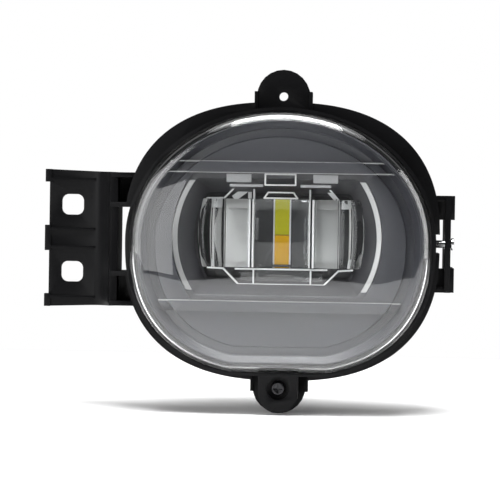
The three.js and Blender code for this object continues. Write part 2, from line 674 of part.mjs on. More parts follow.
function ledBoard() {
  const board = block(-BOARD_HALF_W, BOARD_HALF_W, BOARD_FRONT, BOARD_FRONT + BOARD_T,
    OPTIC_Z - BOARD_HALF_H, OPTIC_Z + BOARD_HALF_H);
  const holes = rodsY(BOARD_SCREWS, BOARD_BORE_R, BOARD_FRONT - 1, BOARD_FRONT + 3, OPTIC_Z);
  return cut(board, ...holes);
}

function ledStrip(low, high) {
  return block(-LED_HALF_W, LED_HALF_W, BOARD_FRONT - GAP - 1, BOARD_FRONT - GAP, low, high);
}

function thermalPad() {
  const pad = block(-BOARD_HALF_W, BOARD_HALF_W, PAD_FRONT, PAD_FRONT + PAD_T,
    OPTIC_Z - BOARD_HALF_H, OPTIC_Z + BOARD_HALF_H);
  const holes = rodsY(BOARD_SCREWS, BOARD_BORE_R, PAD_FRONT - 1, PAD_FRONT + 3, OPTIC_Z);
  return cut(pad, ...holes);
}

const SINK_SEAL_FRONT = BUCKET_REAR + GAP;
const SINK_FRONT = SINK_SEAL_FRONT + SEAL_T + GAP;
const SINK_BACK = SINK_FRONT + SINK_BASE;

function heatSink() {
  const low = SINK_Z - SINK_HALF_H;
  const high = SINK_Z + SINK_HALF_H;
  const finRear = SINK_BACK + FIN_DEPTH;
  const base = block(-SINK_HALF_W, SINK_HALF_W, SINK_FRONT, SINK_BACK, low, high);
  const halfW = BOARD_HALF_W + 1;
  const halfH = BOARD_HALF_H + 0.5;
  const pedestal = block(-halfW, halfW, PEDESTAL_FRONT, SINK_FRONT + 1, OPTIC_Z - halfH, OPTIC_Z + halfH);
  let sink = base.add(pedestal);
  for (let i = 0; i < FIN_COUNT; i += 1) {
    const x = -SINK_HALF_W + i * FIN_PITCH;
    sink = sink.add(block(x, x + FIN_T, SINK_BACK - 0.5, finRear, low, high));
  }
  const bores = rodsY(SINK_SCREWS, SINK_BORE_R, SINK_FRONT - 1, SINK_BACK + 1, SINK_Z);
  const drives = rodsY(SINK_SCREWS, SINK_SCREW_HEAD_R + GAP, SINK_BACK, finRear + 1, SINK_Z, 12);
  const taps = rodsY(BOARD_SCREWS, BOARD_BORE_R, PEDESTAL_FRONT - 1, PEDESTAL_FRONT + 9, OPTIC_Z);
  return cut(sink, ...bores, ...drives, ...taps);
}

function heatSinkSeal() {
  const outer = roundedBox(0, SINK_Z, 2 * SINK_HALF_W, 2 * SINK_HALF_H, 2);
  outer.holes.push(roundedBox(0, SINK_Z, 2 * (SINK_OPEN_HALF_W - 1), 2 * (SINK_OPEN_HALF_H - 0.5), 2));
  const holes = rodsY(SINK_SCREWS, SINK_BORE_R, BUCKET_REAR, SINK_FRONT, SINK_Z);
  return cut(slab(outer, SINK_SEAL_FRONT, SINK_SEAL_FRONT + SEAL_T, 3), ...holes);
}

// Screws that enter from behind: head at the back of the heat sink base.
function sinkScrew(x, z) {
  const under = SINK_BACK + GAP;
  const head = rodY(SINK_SCREW_HEAD_R, under, under + 2, x, z + SINK_Z, SINK_SCREW_HEAD_R - 0.4, 12);
  const shank = rodY(1.3, BUCKET_REAR - 7, under + 0.2, x, z + SINK_Z, 1.3, 10);
  const slot = block(x - 1.6, x + 1.6, under + 1.2, under + 9, z + SINK_Z - 0.3, z + SINK_Z + 0.3);
  return cut(union(head, shank), slot);
}

// ---------- electrics at the rear ----------
function driverBoard() {
  const rear = DRIVER_FRONT + BOARD_T;
  const board = block(DRIVER_LEFT, DRIVER_RIGHT, DRIVER_FRONT, rear, DRIVER_BOTTOM, DRIVER_TOP);
  const coil = rodY(5, DRIVER_FRONT - 6, DRIVER_FRONT + 0.5, DRIVER_RIGHT - 6, DRIVER_TOP - 9, 5, 12);
  const chip = block(DRIVER_LEFT + 5, DRIVER_LEFT + 14, DRIVER_FRONT - 2, DRIVER_FRONT + 0.5,
    DRIVER_BOTTOM + 6, DRIVER_BOTTOM + 13);
  const holes = rodsY(DRIVER_POSTS, DRIVER_BORE_R, DRIVER_FRONT - 1, DRIVER_FRONT + 3);
  return cut(union(board, coil, chip), ...holes);
}

const SOCKET_W = 18;
const SOCKET_H = 16;
const SOCKET_WALL = 1.8;
const SOCKET_FRONT = BUCKET_REAR + GAP;
const SOCKET_REAR = SOCKET_FRONT + 20;
const SOCKET_FLOOR = SOCKET_FRONT + 3;

function connectorSocket() {
  const plate = roundedBox(SOCKET_X + 1, SOCKET_Z, SOCKET_W + 4, SOCKET_H + 6, 2);
  const outside = roundedBox(SOCKET_X, SOCKET_Z, SOCKET_W, SOCKET_H, 3);
  const innerW = SOCKET_W - 2 * SOCKET_WALL;
  const innerH = SOCKET_H - 2 * SOCKET_WALL;
  const inside = roundedBox(SOCKET_X, SOCKET_Z, innerW, innerH, 1.6);
  const flange = slab(plate, SOCKET_FRONT, SOCKET_FRONT + 2, 3);
  const tube = slab(outside, SOCKET_FRONT, SOCKET_REAR, 3);
  const mouth = slab(inside, SOCKET_FLOOR, SOCKET_REAR + 1, 3);
  const latch = block(SOCKET_X - 2.5, SOCKET_X + 2.5, SOCKET_REAR - 8, SOCKET_REAR - 5,
    SOCKET_Z + SOCKET_H / 2 - 0.5, SOCKET_Z + SOCKET_H / 2 + 1.6);
  const bores = rodsY(contactPlaces(), CONTACT_R + GAP, SOCKET_FRONT - 1, SOCKET_FLOOR + 1, 0, 8);
  return cut(union(flange, tube, latch), mouth, ...bores);
}

function contactPin(x, z) {
  return rodY(CONTACT_R, DRIVER_FRONT + BOARD_T + GAP, SOCKET_REAR - 6, x, z, CONTACT_R * 0.7, 8);
}

function breatherVent() {
  const cap = rodY(5, BUCKET_REAR + GAP, BUCKET_REAR + 4, VENT[0], VENT[1], 4.4);
  return cap.add(rodY(VENT_STEM_R, BUCKET_REAR - 4, BUCKET_REAR + 1, VENT[0], VENT[1]));
}

// ---------- materials ----------
const finish = (color, roughness, metalness = 0) => (
  new THREE.MeshStandardMaterial({ color, roughness, metalness })
);
const blackPlastic = () => finish(0x101011, 0.55);
const greyPlastic = () => finish(0x3c3e42, 0.45);
const rubber = () => finish(0x0c0c0c, 0.85);
const steel = () => finish(0xb9bbbd, 0.3, 1);
const clear = () => (
  new THREE.MeshStandardMaterial({ color: 0xe8eef0, roughness: 0.05, opacity: 0.35, transparent: true })
);
const castAlloy = () => finish(0x2b2c2e, 0.6, 0.6);
const mirrorCoat = () => finish(0xc8c8c4, 0.2, 1);
const boardGreen = () => finish(0x1d2a24, 0.5);
const nylon = () => finish(0xd8d4c4, 0.6);

// ---------- assembly ----------
const fogLight = new THREE.Group();
fogLight.position.x = LAMP_X;

function place(name, body, material) {
  const mesh = body.getMesh();
  const geometry = new THREE.BufferGeometry();
  geometry.setAttribute('position', new THREE.BufferAttribute(new Float32Array(mesh.vertProperties), 3));
  geometry.setIndex(new THREE.BufferAttribute(new Uint32Array(mesh.triVerts), 1));
  geometry.computeVertexNormals();
  const part = new THREE.Mesh(geometry, material);
  part.name = name;
  fogLight.add(part);
}

place('bracket', bracket(), blackPlastic());
place('pivot_pin_left', pivotPin(-1, -WINDOW_RIGHT), steel());
place('pivot_pin_right', pivotPin(1, SIDE_WALL_X + WALL), steel());
place('adjuster_screw', adjusterScrew(), steel());
place('adjuster_retainer', adjusterRetainer(), steel());
place('housing', housing(), blackPlastic());
place('pivot_bush_left', pivotBush(-1), nylon());
place('pivot_bush_right', pivotBush(1), nylon());
place('outer_lens', outerLens(), clear());
place('lens_seal', lensSeal(), rubber());
place('inner_bezel', innerBezel(), greyPlastic());
place('optic', optic(), clear());
place('reflector_left', reflector(-1), mirrorCoat());
place('reflector_right', reflector(1), mirrorCoat());
place('optic_holder', opticHolder(), blackPlastic());
HOLDER_POSTS.forEach(([x, z], i) => {
  place(`holder_screw_${i + 1}`, panScrew(x, z + OPTIC_Z, HOLDER_REAR - HOLDER_T, 1.2, 10), steel());
});
place('led_board', ledBoard(), boardGreen());
place('led_white', ledStrip(LED_SPLIT_Z + GAP / 2, LED_TOP_Z), finish(0xb4b42a, 0.5));
place('led_amber', ledStrip(LED_BOTTOM_Z, LED_SPLIT_Z - GAP / 2), finish(0xe0a028, 0.5));
BOARD_SCREWS.forEach(([x, z], i) => {
  place(`board_screw_${i + 1}`, panScrew(x, z + OPTIC_Z, BOARD_FRONT, 1, 9), steel());
});
place('thermal_pad', thermalPad(), finish(0x9aa0a6, 0.9));
place('heat_sink', heatSink(), castAlloy());
place('heat_sink_seal', heatSinkSeal(), rubber());
SINK_SCREWS.forEach(([x, z], i) => place(`heat_sink_screw_${i + 1}`, sinkScrew(x, z), steel()));
place('driver_board', driverBoard(), boardGreen());
DRIVER_POSTS.forEach(([x, z], i) => {
  place(`driver_screw_${i + 1}`, panScrew(x, z, DRIVER_FRONT, 0.9, 5), steel());
});
place('connector_socket', connectorSocket(), blackPlastic());
contactPlaces().forEach(([x, z], i) => place(`contact_pin_${i + 1}`, contactPin(x, z), steel()));
place('breather_vent', breatherVent(), rubber());

export default fogLight;
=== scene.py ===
import math

import bmesh
import bpy
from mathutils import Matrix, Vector


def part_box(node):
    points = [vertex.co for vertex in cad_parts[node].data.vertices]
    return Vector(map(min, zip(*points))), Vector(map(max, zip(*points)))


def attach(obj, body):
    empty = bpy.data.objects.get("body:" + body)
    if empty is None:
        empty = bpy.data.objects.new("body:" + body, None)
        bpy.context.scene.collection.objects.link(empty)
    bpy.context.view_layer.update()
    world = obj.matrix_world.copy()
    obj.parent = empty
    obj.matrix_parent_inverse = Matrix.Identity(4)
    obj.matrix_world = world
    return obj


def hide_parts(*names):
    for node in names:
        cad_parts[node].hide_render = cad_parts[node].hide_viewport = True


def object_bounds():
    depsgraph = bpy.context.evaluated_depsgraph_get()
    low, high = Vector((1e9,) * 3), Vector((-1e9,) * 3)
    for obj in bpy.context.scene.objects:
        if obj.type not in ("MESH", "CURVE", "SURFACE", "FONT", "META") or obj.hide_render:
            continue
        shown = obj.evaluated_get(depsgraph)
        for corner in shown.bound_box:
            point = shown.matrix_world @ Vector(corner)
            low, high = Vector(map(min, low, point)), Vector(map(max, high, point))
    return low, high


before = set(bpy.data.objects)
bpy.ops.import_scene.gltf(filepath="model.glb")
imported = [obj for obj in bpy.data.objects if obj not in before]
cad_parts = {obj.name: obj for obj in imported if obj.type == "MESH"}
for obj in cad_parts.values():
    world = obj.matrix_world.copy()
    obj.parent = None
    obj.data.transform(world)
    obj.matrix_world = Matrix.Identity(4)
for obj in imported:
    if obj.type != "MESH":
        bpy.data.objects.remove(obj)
CAD_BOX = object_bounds()
MM = 0.001

# ---------------------------------------------------------------- camera and stage
# A long lens a little right of and above the lamp's axis, over pale paper, under a soft top light.
RIM_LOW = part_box("housing")[0]
LENS_LOW, LENS_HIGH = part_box("outer_lens")
MID_X = (LENS_LOW.x + LENS_HIGH.x) / 2
CAMERA_AZIMUTH = math.radians(3.0)
CAMERA_RISE = math.radians(1.0)
CAMERA_ROLL = math.radians(0.9)
CAMERA_DISTANCE = 1.2
PAPER_FRONT = 0.9              # the paper ends this far in front of the lamp
PAPER_BACK = 0.45
AIM = Vector((MID_X - 0.0156, RIM_LOW.y, -0.0044))

away = Vector((
    math.sin(CAMERA_AZIMUTH) * math.cos(CAMERA_RISE),
    -math.cos(CAMERA_AZIMUTH) * math.cos(CAMERA_RISE),
    math.sin(CAMERA_RISE),
))
camera_data = bpy.data.cameras.new("camera")
camera_data.lens = 166.0
camera_data.clip_end = 20.0
camera = bpy.data.objects.new("camera", camera_data)
bpy.context.scene.collection.objects.link(camera)
camera.location = AIM + away * CAMERA_DISTANCE
camera.rotation_euler = (-away).to_track_quat("-Z", "Y").to_euler()
camera.rotation_euler.rotate_axis("Z", CAMERA_ROLL)
bpy.context.scene.camera = camera


def new_material(name):
    material = bpy.data.materials.new(name)
    material.use_nodes = True
    return material, material.node_tree, material.node_tree.nodes["Principled BSDF"]


bpy.ops.object.select_all(action="DESELECT")
bpy.ops.mesh.primitive_plane_add(size=1.0, location=(MID_X, (PAPER_BACK - PAPER_FRONT) / 2, CAD_BOX[0][2]))
floor = bpy.context.object
floor.name = "floor"
floor.scale = (6.0, PAPER_BACK + PAPER_FRONT, 1.0)
bpy.ops.object.transform_apply()
paper, _, paper_shader = new_material("floor_paper")
paper_shader.inputs["Base Color"].default_value = (0.93, 0.93, 0.93, 1.0)
paper_shader.inputs["Roughness"].default_value = 0.9
paper_shader.inputs["Specular IOR Level"].default_value = 0.1
floor.data.materials.append(paper)

# White behind the lamp for the camera, and a dim room for everything that it reflects.
world = bpy.data.worlds.new("studio")
bpy.context.scene.world = world
world.use_nodes = True
sky_tree = world.node_tree
room = sky_tree.nodes["Background"]
room.inputs["Color"].default_value = (1.0, 1.0, 1.0, 1.0)
room.inputs["Strength"].default_value = 0.1
backdrop = sky_tree.nodes.new("ShaderNodeBackground")
backdrop.inputs["Color"].default_value = (1.0, 1.0, 1.0, 1.0)
backdrop.inputs["Strength"].default_value = 1.0
seen = sky_tree.nodes.new("ShaderNodeLightPath")
pick = sky_tree.nodes.new("ShaderNodeMixShader")
sky_tree.links.new(seen.outputs["Is Camera Ray"], pick.inputs["Fac"])
sky_tree.links.new(room.outputs["Background"], pick.inputs[1])
sky_tree.links.new(backdrop.outputs["Background"], pick.inputs[2])
sky_tree.links.new(pick.outputs["Shader"], sky_tree.nodes["World Output"].inputs["Surface"])


def soft_box(name, place, width, height, power):
    data = bpy.data.lights.new(name, "AREA")
    data.shape = "RECTANGLE"
    data.size = width
    data.size_y = height
    data.energy = power
    light = bpy.data.objects.new(name, data)
    bpy.context.scene.collection.objects.link(light)
    light.location = place
    aim = Vector((MID_X, 0.0, 0.0)) - light.location
    light.rotation_euler = aim.to_track_quat("-Z", "Y").to_euler()


soft_box("top_box", (MID_X, -0.3, 1.1), 0.8, 0.6, 20.0)
soft_box("left_box", (MID_X - 1.2, -0.85, 0.25), 1.5, 1.3, 22.0)
soft_box("right_box", (MID_X + 1.2, -0.3, 0.3), 0.4, 1.2, 10.0)
soft_box("flank_box", (MID_X - 0.68, -1.95, 0.085), 0.34, 0.49, 1.2)
overhead = bpy.data.lights.new("ceiling", "SUN")
overhead.energy = 1.6
overhead.angle = math.radians(60)
ceiling = bpy.data.objects.new("ceiling", overhead)
bpy.context.scene.collection.objects.link(ceiling)
bpy.context.scene.view_settings.view_transform = "Standard"

# ---------------------------------------------------------------- bracket
# One injection moulding in black glass-filled nylon: the ring round the lamp, both adjuster tabs
# and both ears. A mould leaves small radii on its edges and a fine spark grain on its skin.
MOULD_RADIUS = 0.00035
NYLON_BLACK = (0.0035, 0.0035, 0.0038, 1.0)
NYLON_GREY = (0.006, 0.006, 0.0065, 1.0)


def only(obj):
    bpy.ops.object.select_all(action="DESELECT")
    obj.select_set(True)
    bpy.context.view_layer.objects.active = obj


def apply_modifier(obj, kind, **settings):
    only(obj)
    modifier = obj.modifiers.new(kind.lower(), kind)
    for key, value in settings.items():
        setattr(modifier, key, value)
    bpy.ops.object.modifier_apply(modifier=modifier.name)


# Splits the straight sides of a piece that follow an outline and moves them onto the true curve.
def follow_outline(piece, reach, middle_x):
    mesh = bmesh.from_edit_mesh(piece.data)
    mesh.select_mode = {"EDGE"}

    def off_curve(point):
        x, z = point.co.x - middle_x, point.co.z
        return abs(math.hypot(x, z) - reach(math.atan2(z, x)))

    for edge in mesh.edges:
        level = abs(edge.verts[0].co.y - edge.verts[1].co.y) < 1e-5
        coarse = edge.calc_length() > 1.5 * MM
        on_curve = all(off_curve(point) < 0.06 * MM for point in edge.verts)
        edge.select_set(level and coarse and on_curve)
    mesh.select_flush_mode()
    bmesh.update_edit_mesh(piece.data)
    bpy.ops.mesh.subdivide(number_cuts=3)
    mesh = bmesh.from_edit_mesh(piece.data)
    for point in mesh.verts:
        if point.select and off_curve(point) < 0.5 * MM:
            turn = math.atan2(point.co.z, point.co.x - middle_x)
            out = reach(turn)
            point.co.x, point.co.z = middle_x + out * math.cos(turn), out * math.sin(turn)
    bmesh.update_edit_mesh(piece.data)
    bpy.ops.mesh.select_mode(type="VERT")


# The CAD facets merged into faces, then corners rounded and curved faces shaded smooth.
def rounded_copy(node, name, radius, segments=2, smooth_angle=32.0, outlines=()):
    piece = bpy.data.objects.new(name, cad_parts[node].data.copy())
    bpy.context.scene.collection.objects.link(piece)
    piece.data.materials.clear()
    only(piece)
    bpy.ops.object.mode_set(mode="EDIT")
    bpy.ops.mesh.select_all(action="SELECT")
    bpy.ops.mesh.remove_doubles(threshold=0.000002)
    bpy.ops.mesh.dissolve_limited(angle_limit=math.radians(0.6))
    for reach in outlines:
        follow_outline(piece, reach, MID_X)
    bpy.ops.object.mode_set(mode="OBJECT")
    if radius > 0:
        apply_modifier(piece, "BEVEL", width=radius, segments=segments, limit_method="ANGLE",
                       angle_limit=math.radians(40.0), use_clamp_overlap=True)
    bpy.ops.object.shade_smooth_by_angle(angle=math.radians(smooth_angle))
    return piece


# Gives a piece its finish and says which body carries it and what it stands for.
def dress(piece, material, slot, body, *nodes):
    piece.data.materials.clear()
    piece.data.materials.append(material)
    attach(piece, body)
    if nodes:
        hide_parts(*nodes)


# Two tones and a gloss that drift slowly over a piece, with a fine grain in the bump.
def grained(name, dark, light, gloss, grain_scale=1500.0, grain=0.1, drift=30.0, metal=0.0,
            specular=0.5):
    material, tree, shader = new_material(name)
    shader.inputs["Metallic"].default_value = metal
    shader.inputs["Specular IOR Level"].default_value = specular
    place = tree.nodes.new("ShaderNodeTexCoord")
    cloud = tree.nodes.new("ShaderNodeTexNoise")
    cloud.inputs["Scale"].default_value = drift
    cloud.inputs["Detail"].default_value = 5.0
    tree.links.new(place.outputs["Object"], cloud.inputs["Vector"])
    tone = tree.nodes.new("ShaderNodeMix")
    tone.data_type = "RGBA"
    tone.inputs["A"].default_value = dark
    tone.inputs["B"].default_value = light
    tree.links.new(cloud.outputs["Fac"], tone.inputs["Factor"])
    tree.links.new(tone.outputs["Result"], shader.inputs["Base Color"])
    shine = tree.nodes.new("ShaderNodeMapRange")
    shine.inputs["To Min"].default_value = max(gloss - 0.08, 0.02)
    shine.inputs["To Max"].default_value = gloss + 0.08
    tree.links.new(cloud.outputs["Fac"], shine.inputs["Value"])
    tree.links.new(shine.outputs["Result"], shader.inputs["Roughness"])
    spark = tree.nodes.new("ShaderNodeTexNoise")
    spark.inputs["Scale"].default_value = grain_scale
    spark.inputs["Detail"].default_value = 2.0
    tree.links.new(place.outputs["Object"], spark.inputs["Vector"])
    bump = tree.nodes.new("ShaderNodeBump")
    bump.inputs["Strength"].default_value = grain
    bump.inputs["Distance"].default_value = 0.0001
    tree.links.new(spark.outputs["Fac"], bump.inputs["Height"])
    tree.links.new(bump.outputs["Normal"], shader.inputs["Normal"])
    return material


bracket_black = grained("bracket_black", NYLON_BLACK, NYLON_GREY, 0.3, specular=0.06)


# The bracket's ring is a full oval, given here a wall's thickness or more inside its outside.
def ring_reach(turn, inset):
    c, s = abs(math.cos(turn)), abs(math.sin(turn))
    return ((c / (83.5 * MM - inset)) ** 2.5 + (s / (73.5 * MM - inset)) ** 2.5) ** (-1 / 2.5)


bracket = rounded_copy("bracket", "bracket_moulding", MOULD_RADIUS, outlines=(
    lambda turn: ring_reach(turn, 0.0),
    lambda turn: ring_reach(turn, 3.0 * MM),
))
dress(bracket, bracket_black, "black_plastic", "bracket_body", "bracket")

# ---------------------------------------------------------------- pivot pins and bushes
# Turned steel pins with a domed head, pressed through the ear and the hidden bar, each in a nylon
# bush that is pushed into the boss of the lamp housing.
pin_steel = grained("pin_steel", (0.62, 0.62, 0.63, 1.0), (0.78, 0.78, 0.79, 1.0), 0.22,
                    2600.0, 0.06, 90.0, 1.0)
bush_nylon = grained("bush_nylon", (0.55, 0.53, 0.47, 1.0), (0.66, 0.64, 0.58, 1.0), 0.5)
for side in ("left", "right"):
    pin = rounded_copy("pivot_pin_" + side, "pin_" + side, 0.0003)
    dress(pin, pin_steel, "steel", "bracket_body", "pivot_pin_" + side)
    bush = rounded_copy("pivot_bush_" + side, "bush_" + side, 0.0002)
    dress(bush, bush_nylon, "nylon", "lamp", "pivot_bush_" + side)

# ---------------------------------------------------------------- lamp housing
# Black injection moulding: the channel for the lens round its mouth, the pivot bosses, and the
# narrow lobe below with the recess for the adjuster screw. Its rim is polished in the mould.
housing_black = grained("housing_black", NYLON_BLACK, NYLON_GREY, 0.3, 1500.0, 0.04, specular=0.08)


# How far the lamp's outline lies from its middle in one direction: an ellipse above, and a
# fuller curve cut flat below. The outline can be drawn in by an inset.
def lamp_reach(turn, inset):
    c, s = abs(math.cos(turn)), math.sin(turn)
    power, down = (2.0, 70.0 * MM) if s >= 0 else (2.4, 72.0 * MM)
    half_w = 81.0 * MM - inset
    reach = ((c / half_w) ** power + (abs(s) / (down - inset)) ** power) ** (-1 / power)
    if s < -0.05:
        reach = min(reach, (70.0 * MM - inset) / -s)
    return reach


housing = rounded_copy("housing", "housing_shell", MOULD_RADIUS,
                       outlines=(lambda turn: lamp_reach(turn, 0.0),))
dress(housing, housing_black, "black_plastic", "lamp", "housing")

# ---------------------------------------------------------------- adjuster screw and retainer
# Blackened steel screw with a cross recess, turned from the front to tip the lamp, and the washer
# that keeps it in the lobe.
screw_black = grained("screw_black", (0.02, 0.02, 0.022, 1.0), (0.05, 0.05, 0.052, 1.0), 0.3,
                      2200.0, 0.08, 60.0, 1.0)
screw = rounded_copy("adjuster_screw", "adjuster", 0.00015)
dress(screw, screw_black, "dark_steel", "adjuster", "adjuster_screw")
retainer = rounded_copy("adjuster_retainer", "retainer", 0.00015)
dress(retainer, pin_steel, "steel", "adjuster", "adjuster_retainer")

# ---------------------------------------------------------------- outer lens
# Clear hard-coated polycarbonate: a shallow crown, a rounded edge and a skirt bonded into the
# channel. Lamps shine through it, so only shadow rays meet the see-through shader.
def clear_resin(name, tint, roughness, ior):
    material, tree, shader = new_material(name)
    shader.inputs["Base Color"].default_value = tint
    shader.inputs["IOR"].default_value = ior
    shader.inputs["Transmission Weight"].default_value = 1.0
    place = tree.nodes.new("ShaderNodeTexCoord")
    wave = tree.nodes.new("ShaderNodeTexNoise")
    wave.inputs["Scale"].default_value = 12.0
    wave.inputs["Detail"].default_value = 1.0
    tree.links.new(place.outputs["Object"], wave.inputs["Vector"])
    haze = tree.nodes.new("ShaderNodeMapRange")
    haze.inputs["To Min"].default_value = roughness
    haze.inputs["To Max"].default_value = roughness + 0.01
    tree.links.new(wave.outputs["Fac"], haze.inputs["Value"])
    tree.links.new(haze.outputs["Result"], shader.inputs["Roughness"])
    bump = tree.nodes.new("ShaderNodeBump")
    bump.inputs["Strength"].default_value = 0.01
    bump.inputs["Distance"].default_value = 0.0005
    tree.links.new(wave.outputs["Fac"], bump.inputs["Height"])
    tree.links.new(bump.outputs["Normal"], shader.inputs["Normal"])
    rays = tree.nodes.new("ShaderNodeLightPath")
    open_air = tree.nodes.new("ShaderNodeBsdfTransparent")
    choose = tree.nodes.new("ShaderNodeMixShader")
    tree.links.new(rays.outputs["Is Shadow Ray"], choose.inputs["Fac"])
    tree.links.new(shader.outputs["BSDF"], choose.inputs[1])
    tree.links.new(open_air.outputs["BSDF"], choose.inputs[2])
    tree.links.new(choose.outputs["Shader"], tree.nodes["Material Output"].inputs["Surface"])
    return material


cover_clear = clear_resin("cover_clear", (0.97, 0.98, 0.985, 1.0), 0.0, 1.5)
LENS_INSET = 2.3 * MM
LENS_WALL = 2.5 * MM
CROWN_RISE = 4.0 * MM          # the middle stands this far in front of the shoulder
SHOULDER = 0.895               # where the crown turns into the rounded edge
SHOULDER_DROP = 6.0 * MM
SKIRT_REAR = -32.0 * MM


# Moves the selected ring of points to a rule's reach in each direction from a middle.
def place_ring(obj, middle_z, reach, y):
    mesh = bmesh.from_edit_mesh(obj.data)
    for point in mesh.verts:
        if point.select:
            turn = math.atan2(point.co.z - middle_z, point.co.x - MID_X)
            out = reach(turn)
            point.co = (MID_X + out * math.cos(turn), y, middle_z + out * math.sin(turn))
    bmesh.update_edit_mesh(obj.data)


# A skin drawn over rings: the open edge of a circle is extruded again and again, each time to
# the next (reach, y). It ends open, in a point or in a flat face, and faces the viewer.
def ring_skin(name, sides, middle_z, rings, end="open"):
    bpy.ops.object.select_all(action="DESELECT")
    bpy.ops.mesh.primitive_circle_add(vertices=sides, radius=0.05, fill_type="NOTHING",
                                      location=(MID_X, 0, middle_z), rotation=(math.pi / 2, 0, 0))
    piece = bpy.context.object
    piece.name = name
    bpy.ops.object.transform_apply()
    bpy.ops.object.mode_set(mode="EDIT")
    bpy.ops.mesh.select_all(action="SELECT")
    place_ring(piece, middle_z, *rings[0])
    for reach, y in rings[1:]:
        bpy.ops.mesh.extrude_edges_move()
        place_ring(piece, middle_z, reach, y)
    if end == "point":
        bpy.ops.mesh.merge(type="CENTER")
    if end == "face":
        bpy.ops.mesh.edge_face_add()
    bpy.ops.mesh.select_all(action="SELECT")
    bpy.ops.mesh.normals_make_consistent(inside=False)
    bpy.ops.object.mode_set(mode="OBJECT")
    mesh = piece.data
    if sum(face.normal.y * face.area for face in mesh.polygons) > 0:
        mesh.flip_normals()
    return piece


def lens_y(place):
    bulge = max(0.0, (place - SHOULDER) / (1.0 - SHOULDER))
    return LENS_LOW.y + CROWN_RISE * place ** 2 + SHOULDER_DROP * (1 - math.sqrt(max(0.0, 1 - bulge ** 2)))


LENS_STEPS = 31                # rings from the edge of the dome to its middle
SHOULDER_STEPS = 15            # of them, those on the rounded shoulder
lens_rings = [(lambda turn: lamp_reach(turn, LENS_INSET), SKIRT_REAR)]
for step in range(LENS_STEPS):
    if step < SHOULDER_STEPS:
        place = 1 - (1 - SHOULDER) * (1 - math.cos(step / SHOULDER_STEPS * math.pi / 2))
    else:
        place = math.cos(step / LENS_STEPS * math.pi / 2)
    lens_rings.append((lambda turn, place=place: place * lamp_reach(turn, LENS_INSET), lens_y(place)))
lens = ring_skin("lens_cover", 192, 0.0, lens_rings, end="point")
apply_modifier(lens, "SOLIDIFY", thickness=LENS_WALL, offset=-1.0)
bpy.ops.object.shade_smooth_by_angle(angle=math.radians(40))
dress(lens, cover_clear, "clear_cover", "lamp", "outer_lens")

# The seal is a bead of black sealant squeezed between the skirt and the channel floor.
seal_black = grained("seal_black", (0.01, 0.01, 0.01, 1.0), (0.02, 0.02, 0.02, 1.0), 0.75)
seal = rounded_copy("lens_seal", "seal_bead", 0.0002)
dress(seal, seal_black, "rubber", "lamp", "lens_seal")

# ---------------------------------------------------------------- inner bezel
# Dark grey moulded trim, one shallow dish: a step round its edge, a flat leaning in above and
# below, two shelves across, and a funnel behind the opening. Everything is placed from MID_X.
DISH_FRONT = -41.5 * MM        # outer edge of the dish
DISH_INSET = 7.0 * MM          # from the outline of the lamp
DISH_UP = 70.0 * MM - DISH_INSET
SHELF_TOP = (36.0 * MM, 41.4 * MM)
SHELF_LOW = (-36.6 * MM, -31.2 * MM)
LEAN = 0.30                    # how fast each flat goes back towards its shelf
OPENING_R = 55.0 * MM
OPENING_X = -1.9 * MM
OPENING_MID = 2.1 * MM


# Moves the points of the active mesh that a test picks to the place that a rule gives.
def move_points(obj, picks, rule):
    mesh = bmesh.new()
    mesh.from_mesh(obj.data)
    for point in mesh.verts:
        if picks(point.co):
            point.co = rule(point.co)
    mesh.to_mesh(obj.data)
    mesh.free()
    obj.data.update()


# Selects faces in edit mode by their middle and normal.
def pick_faces(obj, test):
    bpy.ops.object.mode_set(mode="EDIT")
    mesh = bmesh.from_edit_mesh(obj.data)
    mesh.select_mode = {"FACE"}
    for face in mesh.faces:
        face.select_set(test(face.calc_center_median(), face.normal))
    mesh.select_flush_mode()
    bmesh.update_edit_mesh(obj.data)
    bpy.ops.mesh.select_mode(type="FACE")


# How far the opening's edge lies from the lamp's middle: round at the sides, level at the shelves.
def opening_reach(turn, grow=0.0):
    s, c = math.sin(turn), math.cos(turn)
    aside = OPENING_X * s - OPENING_MID * c
    reach = OPENING_X * c + OPENING_MID * s + math.sqrt((OPENING_R + grow) ** 2 - aside ** 2)
    if s > 0.01:
        reach = min(reach, (SHELF_TOP[0] + grow) / s)
    if s < -0.01:
        reach = min(reach, (SHELF_LOW[1] - grow) / s)
    return reach


DISH_PROFILE = (
    (0.0, 3.5), (0.0, 0.0), (0.6, -0.1), (1.8, 1.1), (3.8, 1.6), (4.2, 3.1), (8.2, 1.9), (8.8, 1.4),
)
dish_rings = [
    (lambda turn, inset=inset: lamp_reach(turn, DISH_INSET + inset * MM), DISH_FRONT + y * MM)
    for inset, y in DISH_PROFILE
]
dish_rings.append((opening_reach, dish_rings[-1][1]))
dish = ring_skin("bezel_dish", 192, 0.0, dish_rings)
for level in (SHELF_TOP[0] + 0.01 * MM, SHELF_TOP[1], SHELF_LOW[0], SHELF_LOW[1] - 0.01 * MM):
    pick_faces(dish, lambda middle, normal: True)
    bpy.ops.mesh.bisect(plane_co=(MID_X, 0, level), plane_no=(0, 0, 1))
bpy.ops.object.mode_set(mode="OBJECT")


# The flats lean back towards their shelves, so each part of the dish goes back by its own amount.
def lean_back(co):
    if co.z >= SHELF_TOP[1] - 1e-6:
        back = LEAN * (DISH_UP - co.z)
    elif co.z <= SHELF_LOW[0] + 1e-6:
        back = LEAN * (DISH_UP + co.z)
    else:
        back = LEAN * (DISH_UP - SHELF_TOP[1])
    edge = min(1.0, max(0.0, (co.y - DISH_FRONT) / (1.7 * MM)))
    return Vector((co.x, co.y + back * edge, co.z))


